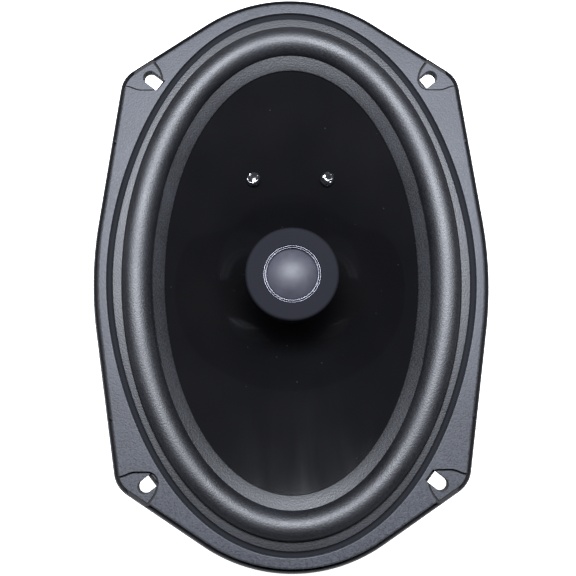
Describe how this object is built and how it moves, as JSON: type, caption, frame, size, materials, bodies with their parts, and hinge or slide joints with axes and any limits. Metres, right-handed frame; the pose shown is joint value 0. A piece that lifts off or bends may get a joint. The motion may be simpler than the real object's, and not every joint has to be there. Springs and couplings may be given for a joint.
{
  "type": "coaxial car speaker",
  "caption": "Oval two-way coaxial car speaker: moulded basket with slotted ears, rubber surround, gloss black cone, dome tweeter on a central post, ferrite motor.",
  "frame": {"origin": "centre of the rear face of the yoke, on which the speaker stands face up", "axes": "+Z out of the front, along the axis of both voice coils; +Y along the long side, towards the terminals; +X along the short side"},
  "size_m": [0.1616, 0.235, 0.0913],
  "materials": {
    "moulded_black": "fine-grained moulded glass-filled polymer, satin",
    "rubber_black": "satin butyl rubber with a faint grain",
    "cone_gloss": "high-gloss black polypropylene",
    "cement_black": "glossy black cement",
    "ferrite": "matt sintered ferrite, slightly chipped at its edges",
    "zinc_plate": "bright zinc-plated steel with turning marks",
    "screw_steel": "plated steel",
    "aluminium_foil": "rolled aluminium foil",
    "copper_wire": "enamelled copper winding",
    "spider_cloth": "resin-treated woven cloth",
    "nylon_black": "moulded black nylon",
    "brass_tab": "stamped brass",
    "capacitor_sleeve": "shrink sleeve over an aluminium can",
    "tinned_lead": "tinned copper braid",
    "wire_red": "PVC insulated wire, red",
    "wire_black": "PVC insulated wire, black",
    "tweeter_shell": "fine satin moulded plastic",
    "trim_ring": "thin ring with polished edges",
    "neodymium": "nickel-plated magnet",
    "dome_silk": "coated silk dome, satin"
  },
  "bodies": {
    "frame": {"basket": "moulded_black", "t_yoke": "zinc_plate", "magnet": "ferrite", "top_plate": "zinc_plate", "basket_screw_1": "screw_steel", "basket_screw_2": "screw_steel", "basket_screw_3": "screw_steel", "basket_screw_4": "screw_steel", "surround": "rubber_black", "spider": "spider_cloth", "tinsel_lead_negative": "tinned_lead", "tinsel_lead_positive": "tinned_lead", "terminal_block": "nylon_black", "terminal_tab_positive": "brass_tab", "terminal_tab_negative": "brass_tab", "terminal_rivet_1": "screw_steel", "terminal_rivet_2": "screw_steel", "crossover_capacitor": "capacitor_sleeve", "capacitor_lead": "tinned_lead", "tweeter_wire_positive": "wire_red", "tweeter_wire_negative": "wire_black", "tweeter_post": "nylon_black", "tweeter_back_cap": "tweeter_shell", "tweeter_bezel": "tweeter_shell", "tweeter_trim_ring": "trim_ring", "tweeter_yoke": "zinc_plate", "tweeter_magnet": "neodymium", "tweeter_pole_plate": "zinc_plate", "tweeter_dome_roll": "dome_silk"},
    "woofer": {"cone": "cone_gloss", "voice_coil_former": "aluminium_foil", "voice_coil": "copper_wire", "lead_joint_negative": "cement_black", "lead_joint_positive": "cement_black"},
    "tweeter": {"tweeter_dome": "dome_silk", "tweeter_former": "aluminium_foil", "tweeter_coil": "copper_wire"}
  },
  "joints": [
    {"name": "cone_travel", "type": "slide", "parent": "frame", "child": "woofer", "axis": [0, 0, 1], "range_m": [-0.005, 0.005], "stiffness_N_per_m": 2200, "deforming": ["surround", "spider", "tinsel_lead_negative", "tinsel_lead_positive"]},
    {"name": "tweeter_travel", "type": "slide", "parent": "frame", "child": "tweeter", "axis": [0, 0, 1], "range_m": [-0.0003, 0.0003], "stiffness_N_per_m": 400, "deforming": ["tweeter_dome_roll"]}
  ]
}
